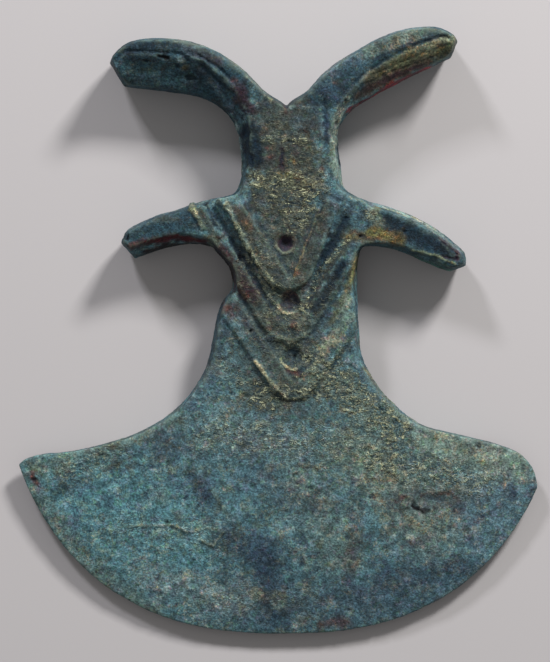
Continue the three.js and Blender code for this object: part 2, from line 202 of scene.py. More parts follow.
WAIST_STAINS = (
    *path("field", ((0, 24), (2, -12)), 22, 0.92, MOSS, 0.7),
    *path("left flank", ((-17, 8), (-20, -12)), 5.5, 0.75, SLATE, 0.8),
    *path("shade on left flank", ((-18.4, 10), (-19.6, -8)), 3.4, 0.7, PINE, 0.8),
    *path("pale left edge", ((-21.4, -9), (-23.4, -14)), 2, 0.35, MIST, 0.8),
    *path("right flank", ((22.4, 6), (23.5, -8), (28, -19)), 3.4, 0.85, TEAL, 0.8),
    *path("ochre on right flank", ((25, -11), (33, -20.5)), 1.3, 0.6, LICHEN),
    *path("olive crust right", ((12, -13), (30, -27)), 7, 0.5, SAGE, 0.8),
    *path("left of upper", ((-11, 34), (-0.6, 15)), 3.4, 1.0, PEAT, 0.6),
    *path("pale plane of left limb", ((-6, 26), (-2.4, 21)), 1.6, 0.3, TEAL),
    *path("right of upper", ((14.6, 37), (6.6, 15)), 2.9, 0.75, PEAT, 0.6),
    *spot("dark foot of upper", (-0.4, 16), 3, 0.5, INK),
    *path("brown root of left limb", ((-10.6, 33.6), (-8, 29.8)), 2.2, 0.45, UMBER),
    *path("shade inside left limb", ((-6.8, 34.6), (2.6, 18)), 0.8, 0.6, PINE),
    *path("pale left crest", ((-15, 36.8), (-8.2, 23.2), (-1.4, 12.8)), 1, 0.75, MINT),
    *path("foot of upper", ((-1.4, 12.8), (3.4, 11.6), (8, 13.4)), 0.8, 0.3, SAGE),
    *path("pale right crest", RIGHT_CREST, 0.8, 0.7, LICHEN),
    *path("left channel, upper", ((-18, 35), (-13, 26)), 1.9, 0.4, NAVY, 0.6),
    *path("left channel, lower", ((-13, 26), (-10.6, 21.4), (-2.2, 7)), 1.9, 0.75, INK, 0.6),
    *path("right channel, upper", ((19.6, 33), (12.6, 19)), 2.7, 0.9, INK, 0.6),
    *path("right channel, lower", ((12.6, 19), (8.2, 10.2)), 1.8, 0.5, TEAL, 0.6),
    *path("root of middle, left", ((-19, 27), (-16.4, 23)), 3, 0.8, OLIVE, 0.8),
    *path("purple on middle", ((-16.2, 22.4), (-11.6, 16), (-8, 10.4)), 3.8, 1.0, AUBERGINE, 0.5),
    *path("rust on purple", ((-11.6, 14), (-8.8, 9.4)), 1.2, 0.45, UMBER, 0.8),
    *path("left of middle", ((-6.8, 7.4), (0.2, -2)), 2.6, 0.5, MOSS, 0.6),
    *path("inner ridge of right limb", ((21.5, 27.4), (16, 20), (7.4, 6.6)), 1.4, 0.9, PEAT, 0.7),
    *path("corroded right limb", ((18.6, 19), (11, 6)), 2.6, 1.0, INK, 0.7),
    *path("outer ridge of right limb", ((22.8, 22), (20.2, 12), (15.6, 3)), 2, 0.9, OLIVE, 0.7),
    *path("straw on outer ridge", ((22.6, 21), (21, 14)), 0.8, 0.7, STRAW),
    *path("pale foot of outer ridge", ((20.6, 9.6), (18, 4)), 1.6, 0.7, MINT, 0.8),
    *path("left of lower", ((-12.6, 1), (-2.6, -14.6)), 3.4, 0.3, TEAL, 0.6),
    *path("crest of lower", LOWER_CREST, 0.6, 0.85, CREAM),
    *path("channel inside lower", ((-11.4, 6), (-3.6, -5.4)), 1.4, 0.75, DEEP, 0.7),
    *path("smooth patch on lower", ((15.2, -2.8), (12, -7.2)), 2.1, 1.0, CREAM, 0.5),
    *path("right of lower", ((20, 4), (8, -13)), 2.7, 0.75, SAGE, 0.6),
    *path("dark foot of lower", ((6, -12), (10.6, -7)), 1.6, 0.7, PINE, 0.7),
    *path("dark between lowers", ((8, -4), (16, 7)), 2, 0.6, SLATE, 0.8),
    *spot("rust at left", (-14.2, 6.6), 2.8, 0.85, RUST, 0.8),
    *spot("rust inside upper", (5.4, 16.6), 1.2, 0.7, RUST, 0.8),
    *spot("rust under middle dimple", (4.4, 1.6), 1.5, 0.9, RUST, 0.8),
    *spot("rust on middle", (-2.9, 0.9), 1.3, 0.6, RUST, 0.8),
    *path("rust under lower dimple", ((3, -11.4), (6.6, -12.4)), 1.4, 0.9, RUST, 0.8),
    *path("rust above upper dimple", ((2.6, 30.4), (4.8, 29)), 0.9, 0.85, RUST, 0.8),
    *path("blue below upper", ((-4.6, -2.6), (-1.6, -2)), 1.4, 0.7, NAVY, 0.8),
    *spot("ring of upper dimple", UPPER_DIMPLE, 3.3, 0.97, PLUM, 0.4),
    *path("brown rim of upper dimple", arc(UPPER_DIMPLE, 3.1, -40, 190), 0.7, 0.6, UMBER),
    # Tan rim of the upper dimple, partly painted highlight on its lower wall, which faces the lamps.
    *path("tan rim and painted highlight of upper dimple", arc(UPPER_DIMPLE, 2.9, 190, 320), 0.6, 0.8, SAND),
    *spot("floor of middle dimple", MIDDLE_DIMPLE, 3.1, 0.85, PUCE, 0.4),
    *path("shade in middle dimple", arc(MIDDLE_DIMPLE, 2.6, 20, 150), 1, 0.7, PUCE),
    # Painted highlight on the lower wall of the middle dimple.
    *path("painted highlight on middle dimple", arc(MIDDLE_DIMPLE, 3.5, 190, 285), 0.5, 0.8, CREAM),
    *spot("floor of lower dimple", LOWER_DIMPLE, 3, 0.7, PINE, 0.4),
    # Painted highlight on the lower wall of the lower dimple.
    *path("painted highlight on lower dimple", arc(LOWER_DIMPLE, 3.5, 185, 285), 0.5, 0.8, CREAM),
)
NECK_STAINS = (
    *path("field", ((2, 62), (3, 46)), 14, 0.95, PEAT, 0.5),
    *spot("slate patch", (6, 60), 4, 0.6, SLATE),
    *path("moss above upper dimple", ((-3, 39), (7, 33)), 8, 0.9, PEAT, 0.8),
    *path("ground of crust", ((-6, 43), (12, 42)), 4, 0.5, OLIVE),
    *path("straw on crust", ((1, 45), (8.4, 42.4)), 1.8, 0.4, STRAW),
    *path("blue at left", ((-8.8, 57.6), (-7.4, 49.4)), 4.4, 1.0, INK, 0.6),
    *path("pale left border", ((-12.9, 63), (-11.2, 56), (-10.6, 46)), 0.7, 0.7, MIST, 0.8),
    *path("blue at right", ((13.6, 69), (14.4, 54)), 1.8, 0.95, NAVY, 0.8),
    *path("pale right border", ((23.4, 70.6), (19.6, 66.8), (16.6, 61), (15.6, 53.6), (16, 48),
          (18.8, 42.6)), 1.6, 0.6, MINT, 0.8),
    *path("pale right shoulder", ((16.4, 49), (19.4, 42.4), (24, 38.4)), 1, 0.8, AQUA),
    # Painted shade on the outer wall beside the right border.
    *path("painted shade on wall right of border", ((17.8, 60), (17.3, 54), (17.8, 48.6), (19.4, 45)), 0.7, 0.8, PAINTED_SHADE, 0.8),
    *path("rust", ((1.2, 52.2), (1, 46.4)), 1.2, 0.9, AUBERGINE, 0.7),
    *spot("small rust", (-3.2, 52.5), 0.9, 0.5, RUST, 0.8),
    *spot("small rust by crust", (-2.3, 49.9), 1, 0.45, RUST, 0.8),
    *spot("rust in crust", (6.2, 44.2), 1.4, 0.7, RUST, 0.8),
    *spot("rust at right", (7.9, 57.4), 0.8, 0.8, RUST, 0.8),
    *path("rust at notch", ((1.6, 64.6), (2.4, 62.6)), 0.9, 0.8, RUST, 0.8),
    *path("crease under notch", ((3.4, 64.2), (14.4, 63.9)), 0.6, 0.8, MIST),
    *path("blue right shoulder", ((16, 39), (24, 33)), 3.4, 0.6, SLATE),
)
LEFT_HORN_STAINS = (
    # The horn's dark ground: partly its own dark patina, partly painted shade of its tilted faces.
    *path("ground", ((-45, 77), (-14, 70)), 12, 0.97, PINE, 0.5),
    *path("navy top", ((-44, 80.4), (-28, 83)), 3, 0.75, DEEP, 0.8),
    *path("brown top", ((-26, 81.5), (-17.4, 77.6)), 3, 0.5, PUCE),
    *path("blue-green facet", ((-43, 74), (-26, 71)), 4.6, 0.4, TEAL),
    *path("rust", ((-10.8, 68.4), (-8.4, 64)), 3.4, 0.85, AUBERGINE, 0.8),
    *spot("rust", (-12.8, 72.1), 1.5, 0.6, RUST),
    *path("pale turn", ((-24.4, 77.2), (-17.6, 70.4), (-13.8, 64.2)), 1.4, 0.8, SLATE),
    # Painted highlight along the lit upper rim of the left horn.
    *path("painted highlight on left horn rim", ((-32, 84.4), (-17.6, 81.4), (-8.6, 73.6), (-2, 66.6)), 0.8, 0.75, MINT),
    *spot("ochre", (-26.6, 75.8), 1.3, 0.75, OCHRE, 0.8),
    *spot("blue bloom", (-28, 77.8), 1.3, 0.8, MIST, 0.8),
)
RIGHT_HORN_STAINS = (
    # The horn's dark ground: partly its own dark patina, partly painted shade of its tilted faces.
    *path("ground", ((12, 68), (44, 83)), 8, 0.85, PINE, 0.6),
    *path("slate band", ((14, 74), (24, 79)), 4, 0.6, SLATE, 0.8),
    *path("sage band", ((26, 80), (42, 86.4)), 3.6, 0.7, SAGE, 0.8),
    *path("navy root", ((13, 71), (18, 66)), 2.8, 0.6, NAVY),
    # Painted highlight along the lit upper rim of the right horn.
    *path("pale rim", ((8.7, 69.4), (15, 75.6), (24.4, 82.6), (31, 85.8), (44, 88)), 0.9, 0.8, MIST),
    *path("olive facet", ((27.4, 72.4), (36, 77.2), (51, 83)), 4.2, 0.9, OLIVE, 0.6),
    *path("sandy tip", ((34, 77.6), (50, 83.4)), 3, 0.8, LICHEN, 0.8),
    *path("purple foot", ((23, 67.4), (32, 72.4), (43, 77.4)), 1.8, 0.8, UMBER, 0.8),
    # Painted shade along the right horn's lower edge, whose underside faces away from the lamps.
    *path("painted shade at foot of right horn", ((23.6, 67.8), (33, 73), (42, 77)), 0.8, 0.6, PAINTED_SHADE),
    *path("pale tip", ((40, 80.4), (50, 84)), 2.2, 0.5, MINT),
    *path("dark streaks", ((25, 70), (33.4, 73.4), (41, 76.4)), 1.4, 0.6, PUCE),
    *path("dark groove", ((27.5, 77.8), (35.7, 81.6), (43.2, 83.6), (49.5, 85.7)), 0.9, 0.9, DEEP),
    *path("crimson edge", ((20.7, 63.4), (31.9, 70.4), (43.9, 76)), 0.9, 0.95, CRIMSON, 0.8),
)
LEFT_ARM_STAINS = (
    *path("ground", ((-46, 27), (-25, 33)), 7, 0.9, PINE, 0.6),
    *path("slate top", ((-41, 31), (-27, 33)), 2.6, 0.3, NAVY, 0.8),
    *path("olive", ((-35.5, 32.2), (-29.2, 32)), 1.2, 0.4, OLIVE),
    # Painted highlight along the lit top rim of the left arm.
    *path("painted highlight on top rim", ((-43.4, 29.3), (-36.8, 32.9), (-29.4, 35), (-21, 37.6)), 0.8, 0.4, MIST),
    *path("rust", ((-42.4, 24.8), (-29.2, 27.2), (-21, 25.6)), 1.4, 0.95, DARK_RED, 0.8),
    # Painted shade on the left arm's underside.
    *path("painted shade on underside of left arm", ((-38, 22.8), (-29, 24.6), (-20.6, 23.4)), 1.7, 1.0, PAINTED_SHADE, 0.7),
    *path("green foot", ((-43.6, 21.6), (-36, 22)), 1.1, 0.7, PINE, 0.8),
    *spot("ochre at root", (-17.6, 27.2), 1.3, 0.6, OCHRE),
    *path("mossy plate inside collar", ((-22, 34), (-19.8, 29.4)), 2.2, 0.75, MOSS, 0.8),
    *path("pale collar", ((-24.8, 35.8), (-23.4, 33)), 1.1, 0.65, CREAM),
    *path("green collar", ((-23.4, 33), (-21.8, 29.4)), 1, 0.4, MINT),
    *path("dark line inside collar", ((-20.8, 36.8), (-17, 29.4)), 1, 0.85, DEEP, 0.8),
)
RIGHT_ARM_STAINS = (
    *path("ground", ((30, 31), (50, 22)), 7, 0.9, PINE, 0.6),
    *path("dark face", ((32, 31), (48, 23.4)), 4, 0.8, INK, 0.8),
    # Painted highlight along the lit top rim of the right arm, from its root to its tip.
    *path("painted highlight on rim at root", ((20.8, 38.4), (30, 36.2)), 0.9, 0.6, MIST),
    *path("painted highlight on top rim", ((30.4, 36), (34.6, 34.6), (41.4, 31.6), (47.2, 27.6)), 1.1, 0.7, AQUA),
    *path("pale rim tip", ((47.2, 27.6), (52.6, 22.6)), 0.9, 0.6, MIST),
    *path("pale root", ((26.6, 35), (29.4, 31)), 2.1, 0.65, MINT),
    *spot("crust spot", (28.4, 35.2), 1.9, 0.8, LICHEN, 0.8),
    *spot("rust at root", (25.2, 34.4), 0.8, 0.7, RUST, 0.8),
    *path("golden root", ((20.6, 27), (27, 27.8), (35, 26.2)), 2.9, 0.95, OCHRE),
    *path("rust in golden root", ((22, 28.6), (24.4, 27.6)), 0.9, 0.8, RUST, 0.8),
    *path("purple line round tip", ((46.4, 27), (51.6, 22.6), (51.6, 20.6), (47.7, 21.4)), 0.8, 0.8,
          PUCE),
    *path("pale lower crest", RIGHT_ARM_CREST, 0.5, 0.9, LICHEN),
    *path("green lower facet", ((40, 20.8), (50, 17)), 1.4, 0.7, SEA_GREEN, 0.8),
)
STAINS = (BLADE_STAINS + WAIST_STAINS + NECK_STAINS + LEFT_HORN_STAINS + RIGHT_HORN_STAINS
          + LEFT_ARM_STAINS + RIGHT_ARM_STAINS)

# Small stains with torn edges, laid over the others.
FLECKS = (
    *path("rust left of pits", ((34.2, -49.2), (36.6, -47.8)), 1.1, 0.8, RUST),
    *spot("rust above pits", (41.6, -47.6), 0.9, 0.8, RUST),
    *path("rust beyond pits", ((46.4, -47.2), (49.4, -46.8)), 0.9, 0.8, RUST),
    *path("rust at end of pits", ((50.8, -47.6), (52.2, -49)), 0.8, 0.7, RUST),
    *spot("rust below pits", (47, -54), 0.7, 0.7, RUST),
    *path("navy between pits", ((40, -46.6), (52, -50)), 2.4, 0.6, DEEP),
    *spot("green below pits", (47.9, -62), 2.4, 0.5, SEA),
    *spot("cream by lower edge", (41, -74), 1.4, 0.4, MINT),
    *path("dark right corner", ((70.6, -38.4), (73.6, -46), (72.4, -53)), 0.9, 0.6, DEEP),
    *spot("brown dot on middle", (9, -57), 0.8, 0.5, UMBER),
    *path("straw in golden root", ((25.6, 28.6), (32, 27.8)), 1.3, 0.6, STRAW),
    *path("flecks in golden root", ((24.6, 26.6), (29, 26.2)), 0.8, 0.6, UMBER),
    *spot("rust at right of crust", (12.3, 46.4), 1, 0.8, RUST),
    *path("ochre at middle of neck", ((3.4, 49.6), (5.2, 48.6)), 1, 0.8, OCHRE),
    *spot("brown root of right horn", (16.6, 71.4), 1, 0.7, UMBER),
    *spot("brown on right horn", (22, 76), 1, 0.6, UMBER),
)

# Where crust has grown over the metal.
CRUST = (
    *path("across base of neck", ((-6, 43.6), (13, 42)), 4, 1.0, fade=0.8),
    *path("down to upper dimple", ((-2, 38), (8, 37), (5, 31)), 5.5, 0.8, fade=0.8),
    *path("neck", ((-1, 60), (7, 50)), 9, 0.32),
    *path("line across neck", ((-4, 55), (9, 54.6)), 1.4, 0.7),
    *path("left crest", ((-15, 36.4), (-8.2, 23.2), (-1.4, 12.8)), 1.4, 0.9, fade=0.8),
    *path("thin waist", ((-6, 20), (6, -6)), 14, 0.45),
    *path("inner ridge", ((20.6, 26.4), (12.4, 17.6), (7.4, 6.6)), 1.5, 0.7, fade=0.8),
    *path("corroded limb", ((16, 14), (11, 5)), 3, 0.3, fade=0.8),
    *path("foot of chevrons", ((-4, -18), (12, -18)), 5, 0.7),
    *path("right of waist", ((14, -12), (34, -28)), 8, 0.9, fade=0.8),
    *path("left of waist", ((-16, -10), (-4, -20)), 6, 0.5),
    *path("below waist", ((-20, -30), (30, -34)), 11, 0.5),
    *path("left of blade", ((-46, -34), (-62, -42)), 6, 0.6),
    *path("lower left", ((-44, -56), (-18, -60)), 8, 0.35),
    *path("right of blade", ((32, -38), (58, -44)), 9, 0.65),
    *path("foot", ((-20, -78), (8, -78)), 7, 0.3),
    *spot("root of right arm", (26, 34), 3, 0.8, fade=0.8),
    *path("in golden root", ((21, 28), (33, 27.4)), 2.4, 0.35, fade=0.8),
    *path("left collar", ((-25, 36), (-21.6, 31)), 1.6, 0.6, fade=0.8),
)

# Forms finer than the solid: heights in millimetres, sunk where they are negative.
FORMS = (
    *path("collar of left arm", ((-24.8, 36.4), (-21.6, 29.6)), 1.1, 0.45, fade=0.7),
    *path("line inside collar", ((-21.2, 36.4), (-18, 30)), 0.9, -0.45, fade=0.7),
    *spot("pit at collar", (-20.8, 36.7), 1, -0.6, fade=0.7),
    *path("bead on left crest", ((-15.2, 36.8), (-8.4, 23.4), (-1.6, 13)), 0.8, 0.35, fade=0.7),
    *path("bead on right crest", RIGHT_CREST, 0.7, 0.3, fade=0.7),
    *path("bead on lower crest", LOWER_CREST, 0.8, 0.4, fade=0.7),
    *path("trough of upper left limb", ((-8.6, 33), (1.6, 15.4)), 1.4, -0.25, fade=1.0),
    *path("deep left channel", ((-18.4, 35), (-10.4, 21), (-3.6, 9.6)), 1.2, -0.5),
    *path("deep right channel", ((19.4, 32.4), (9.4, 12)), 1.3, -0.5),
    *path("fill under middle chevron", ((-2.6, -1.6), (3.6, -3.4), (9.6, -1.6)), 1.7, 0.4, fade=1.0),
    *path("worn foot of middle chevron", ((-1, 0.6), (3.4, -0.6), (8, 0.6)), 2.6, -0.3, fade=1.0),
    *path("lip of upper dimple", arc(UPPER_DIMPLE, 3, 180, 330), 0.6, 0.2),
    *path("lip of middle dimple", arc(MIDDLE_DIMPLE, 3.6, 180, 300), 0.6, 0.2),
    *path("lip of lower dimple", arc(LOWER_DIMPLE, 3.6, 170, 300), 0.6, 0.2),
    *path("left border of neck", ((-11.6, 60), (-10.6, 46)), 1.1, 0.35),
    *path("furrow at left of neck", ((-9.4, 63), (-8.2, 48)), 1.4, -0.45),
    *path("right border of neck", ((26, 74.6), (20, 66.8), (17, 61), (16, 53.6), (16.6, 48)), 1.1,
          0.35),
    *path("furrow at right of neck", ((13.2, 66), (13.8, 51)), 1.2, -0.35),
    *path("crease under notch", ((3.4, 64.4), (14.4, 64.2)), 0.7, 0.2),
    *path("ridge across neck", ((-4, 55), (3, 55.4), (9, 54.6)), 0.7, 0.2),
    *path("fill of left groove", ((-26, 79.3), (-21.6, 77.4), (-16.6, 73.6), (-13.2, 69.9)), 1.1, 0.5,
          fade=1.0),
    *path("worn left lip", ((-27.4, 78.4), (-22.4, 76.2), (-18, 72.8), (-14.2, 69)), 1, -0.3, fade=1.0),
    *path("pit on left horn", ((-34, 78.8), (-32, 78.2)), 0.9, -0.6, fade=0.7),
    *spot("small pit on left horn", (-37.9, 77.4), 0.7, -0.5, fade=0.7),
    *path("hollow by neck end", ((-26, 73), (-24, 72.4)), 1.2, -0.7, fade=0.7),
    *path("streak of right horn, upper", ((27, 75.4), (36, 79.8), (49, 84)), 0.5, -0.14),
    *path("streak of right horn, middle", ((27, 73.6), (37, 78), (49, 82.4)), 0.5, -0.2),
    *path("streak of right horn, lower", ((26, 71.4), (37, 76.2), (47, 80)), 0.5, -0.16),
    *spot("pit at tip of left arm", (-43.6, 26.9), 1.4, -0.7, fade=0.7),
    *path("groove round right tip", ((46.4, 26.8), (51.2, 22.4), (51.2, 20.6), (47.7, 21.4)), 0.7,
          -0.4),
    *path("crest under right arm", RIGHT_ARM_CREST, 0.5, 0.25),
    *spot("pit at right arm's root", (23.6, 27.4), 0.9, -0.5, fade=0.7),
    *spot("pit in lower dimple", (4.9, -7.4), 1, -0.4, fade=0.7),
    *spot("pit at left of chevrons", (-7.8, 0), 0.7, -0.7, fade=0.7),
    *path("pits on right", ((38.8, -50.6), (40.4, -51.8)), 1, -0.45, fade=0.7),
    *path("hollow beyond pits", ((43, -48), (47.8, -48.6)), 2, -0.25, fade=1.0),
    *spot("chip at left corner", (-70.8, -43.2), 1.6, -0.5, fade=0.7),
    *path("crust line on blade", CRUST_LINE, 0.55, 0.22),
    *path("loop of crust line", CRUST_LOOP, 0.5, 0.2),
    *path("rust pit on neck", ((1.2, 51.8), (1, 47.4)), 0.7, -0.35, fade=0.7),
)

# Pits so deep that they look black: painted black, partly for the dark corrosion in them and partly as
# painted shade of their depth.
PITS = (
    *path("left horn, outer", ((-34.2, 78.9), (-31.8, 78)), 0.75, 1.0, fade=0.7),
    *path("left horn, small", ((-38.6, 77.9), (-37, 77.2)), 0.7, 0.9, fade=0.7),
    *path("left horn, inner", ((-26.2, 73.4), (-23.6, 71.6)), 1.8, 0.55, fade=1.0),
    *spot("tip of left arm", (-43.8, 26.8), 1.3, 0.9, fade=0.7),
    # Painted shade under the left arm.
    *path("black painted shade below left arm", ((-26, 24.8), (-20, 24.6)), 1.1, 0.8, fade=0.7),
    *spot("collar", (-20.8, 36.7), 0.9, 0.8, fade=0.7),
    *path("cracks at left arm", ((-20.4, 27.6), (-18.6, 28), (-17.4, 26.8), (-15.8, 27.4)), 0.5, 0.8,
          fade=0.7),
    *spot("root of right arm", (23.6, 27.4), 0.8, 0.7, fade=0.7),
    *spot("upper dimple", (2.2, 25.4), 1.2, 0.75, fade=0.7),
    *spot("lower dimple", (5, -7.2), 1, 0.65, fade=0.7),
    *spot("left of chevrons", (-7.8, 0), 0.6, 0.9, fade=0.7),
    *spot("rust of neck", (1, 47.8), 0.6, 0.5, fade=0.7),
    *path("blade right", ((38.8, -51), (40.8, -51.8), (43.4, -51.6)), 0.8, 1.0, fade=0.7),
    *path("blade right, left", ((35.4, -52.2), (38.8, -51)), 0.6, 0.6, fade=0.7),
    *spot("blade right, outer", (50.8, -51.6), 0.8, 0.8, fade=0.7),
    *spot("blade right, above", (39.3, -39.7), 0.7, 0.5, fade=0.7),
    *path("crack at right", ((47.4, -58), (50, -57.2)), 0.6, 0.7, fade=0.7),
    *path("end of crack", ((52.4, -57.1), (55.4, -57.8)), 0.6, 0.7, fade=0.7),
    *spot("near lower edge", (64, -58.6), 0.8, 0.6, fade=0.7),
    *spot("left of pits", (28.7, -49.9), 0.6, 0.6, fade=0.7),
    *spot("middle of blade", (-0.7, -43), 0.9, 0.55, fade=0.7),
    *spot("middle of blade, lower", (4.6, -51.8), 0.8, 0.45, fade=0.7),
)


@dataclass(frozen=True)
class Noise:
    """Cloudy noise: the size of its lumps, how many finer layers it has and how strong they are.

    `seed` sets it apart from the other noises, and `swirl` says how far it is stirred.
    """

    size: float
    detail: float
    seed: float
    roughness: float = 0.72
    swirl: float = 0.0


@dataclass(frozen=True)
class Cloud:
    """A layer of patina that starts where its noise passes `low` and is full above `high`."""

    noise: Noise
    low: float
    high: float
    share: float
    tone: Colour


# What moves and frays the strokes.
WANDER = Noise(4, 4, 7, 0.7)
TEAR = Noise(1.2, 2, 8, 0.6)
FRAY = Noise(2.6, 4, 9, 0.65)
TEAR_REACH = (2.6, 2.6, 0.0)

# What raises the relief.
UNEVENNESS = Noise(17, 2, 1, 0.5)
LUMPS = Noise(4.2, 4, 2, 0.62)
GRAIN = Noise(1.3, 3, 3, 0.6)
WORMS = Noise(2.4, 2, 4, 0.5, 0.6)
FLAKES = Noise(3.4, 4, 5, 0.6)
WORM_STRETCH = (0.6, 1.15, 1.0)
PIT_CELL = 3.1
PIT_SEED = 6.0

# Marks of curvature: where each starts and is full, over a broad and over a close reach.
CURVES = (("crest", (0.08, 0.4), (0.03, 0.12)), ("cavity", (-0.05, -0.3), (-0.03, -0.12)))
BROAD_ROUNDS = 30
CLOSE_ROUNDS = 4

# What mottles the patina.
CLOUDS = (
    Cloud(Noise(6, 5, 1), 0.53, 0.61, 0.8, SLATE),
    Cloud(Noise(3.4, 5, 3), 0.53, 0.61, 0.6, SAGE),
    Cloud(Noise(4.2, 5, 6), 0.54, 0.62, 0.7, STEEL),
    Cloud(Noise(2.4, 5, 7), 0.56, 0.65, 0.6, MIST),
    Cloud(Noise(2, 5, 8), 0.56, 0.66, 0.8, NAVY),
    Cloud(Noise(1.6, 4, 9), 0.58, 0.68, 0.3, SAND),
    Cloud(Noise(1.8, 4, 10), 0.63, 0.72, 0.3, OLIVE),
    Cloud(Noise(5, 3, 15, swirl=0.5), 0.55, 0.575, 0.3, MIST),
    Cloud(Noise(1.7, 4, 17), 0.54, 0.66, 0.6, SEA_GREEN),
    Cloud(Noise(2.1, 4, 18), 0.55, 0.67, 0.5, VIOLET_GREY),
)
MOTTLE = Noise(2.6, 5, 2)
FINE_MOTTLE = Noise(0.6, 3, 4)
VEINS = Noise(2.2, 3, 11, swirl=0.4)
VEINED_PLACES = Noise(9, 2, 12)
PALE_CRESTS = Noise(3, 4, 13)
CRUST_WORMS = Noise(2.0, 2.5, 14, 0.6, 0.7)
CRUST_WORM_STRETCH = (0.55, 1.2, 1.0)
BROKEN_CRUST = Noise(1.5, 2, 16)
CRUST_SPECKS = Noise(0.4, 2, 19)
# How much lighter than their ground the pale worms of crust are: partly pale crust, partly painted
# highlight on its lit ridges.
BRIGHTER = (2.2, 2.2, 2.2, 1.0)


class Wiring:
    """Adds nodes and links to one tree by short calls."""

    def __init__(self, tree: bpy.types.NodeTree) -> None:
        """Keeps the tree that is wired."""
        self.tree = tree

    def feed(self, socket: Socket, value: Given) -> None:
        """Links a socket to `value` where that is a socket, and otherwise sets it to `value`."""
        if isinstance(value, Socket):
            self.tree.links.new(value, socket)
        else:
            socket.default_value = value

    def add(self, kind: str, inputs: dict | None = None, **settings: object) -> bpy.types.Node:
        """Adds a node.

        Args:
            kind: The node's type.
            inputs: Values or sockets for its inputs, by name or number.
            **settings: The node's own settings.

        Returns:
            The node.
        """
        node = self.tree.nodes.new(kind)
        for name, value in settings.items():
            setattr(node, name, value)
        for key, value in (inputs or {}).items():
            self.feed(node.inputs[key], value)
        return node

    def math(self, operation: str, *terms: Given, clamp: bool = False) -> Socket:
        """The result of a sum on numbers."""
        inputs = dict(enumerate(terms))
        return self.add("ShaderNodeMath", inputs, operation=operation, use_clamp=clamp).outputs[0]

    def times(self, first: Given, second: Given) -> Socket:
        """One number times another."""
        return self.math("MULTIPLY", first, second)

    def centred(self, value: Given) -> Socket:
        """How far noise is above its mean, which is a half."""
        return self.math("SUBTRACT", value, 0.5)

    def total(self, terms: list[Socket]) -> Socket:
        """The sum of several numbers."""
        running = terms[0]
        for term in terms[1:]:
            running = self.math("ADD", running, term)
        return running

    def vector(self, operation: str, *terms: Given) -> Socket:
        """The result of a sum on vectors: a number for a dot product or a distance."""
        node = self.add("ShaderNodeVectorMath", dict(enumerate(terms)), operation=operation)
        return node.outputs[1 if operation in ("DOT_PRODUCT", "DISTANCE") else 0]

    def scaled(self, vector: Given, factor: Given) -> Socket:
        """A vector times a number."""
        inputs = {0: vector, "Scale": factor}
        return self.add("ShaderNodeVectorMath", inputs, operation="SCALE").outputs[0]

    def seeded(self, where: Given, seed: float) -> Socket:
        """A place moved by its seed to a part of the noise of its own."""
        return self.vector("ADD", where, tuple(seed * step for step in SEED_STEP))

    def noise(self, where: Given, noise: Noise, output: int = 0) -> Socket:
        """Noise as a number, or as a colour where `output` is 1."""
        inputs = {"Vector": self.seeded(where, noise.seed), "Scale": 1.0 / noise.size,
                  "Detail": noise.detail, "Roughness": noise.roughness, "Distortion": noise.swirl}
        return self.add("ShaderNodeTexNoise", inputs).outputs[output]

    def ramp(self, value: Given, low: float, high: float, to_low: Given = 0.0,
             to_high: Given = 1.0) -> Socket:
        """Eases from `to_low`, where the value is `low`, to `to_high`, where it is `high`."""
        inputs = {0: value, 1: low, 2: high, 3: to_low, 4: to_high}
        return self.add("ShaderNodeMapRange", inputs, interpolation_type="SMOOTHSTEP").outputs[0]

    def blend(self, share: Given, first: Given, second: Given, mode: str = "MIX") -> Socket:
        """A colour between two others."""
        inputs = {0: share, 6: first, 7: second}
        return self.add("ShaderNodeMix", inputs, data_type="RGBA", blend_type=mode).outputs[2]

    def tinted(self, share: Given, colour: Given, by: Given) -> Socket:
        """A share of a colour multiplied by another."""
        return self.blend(share, colour, by, "MULTIPLY")

    def shaded(self, share: Given, colour: Given, by: Given) -> Socket:
        """A share of a colour made darker or lighter by a number."""
        grey = self.add("ShaderNodeCombineColor", {0: by, 1: by, 2: by}).outputs[0]
        return self.tinted(share, colour, grey)

    def mark(self, name: str, output: str = "Fac") -> Socket:
        """What the relief stored on the mesh under a name."""
        return self.add("ShaderNodeAttribute", attribute_name=name).outputs[output]

    def store(self, body: Given, name: str, value: Given, kind: str = "FLOAT") -> Socket:
        """The mesh with a mark stored on every point."""
        inputs = {"Geometry": body, "Name": name, "Value": value}
        return self.add("GeometryNodeStoreNamedAttribute", inputs, data_type=kind,
                        domain="POINT").outputs[0]


def node_group(name: str, takes: tuple[Plug, ...], gives: Plug) -> bpy.types.NodeTree:
    """Makes an empty Geometry Nodes tree.

    Args:
        name: The name of the tree.
        takes: Its inputs.
        gives: Its output.

    Returns:
        The tree.
    """
    tree = bpy.data.node_groups.new(name, "GeometryNodeTree")
    sockets = [(label, kind, "INPUT") for label, kind in takes] + [(*gives, "OUTPUT")]
    for label, kind, way in sockets:
        tree.interface.new_socket(name=label, in_out=way, socket_type=f"NodeSocket{kind}")
    return tree


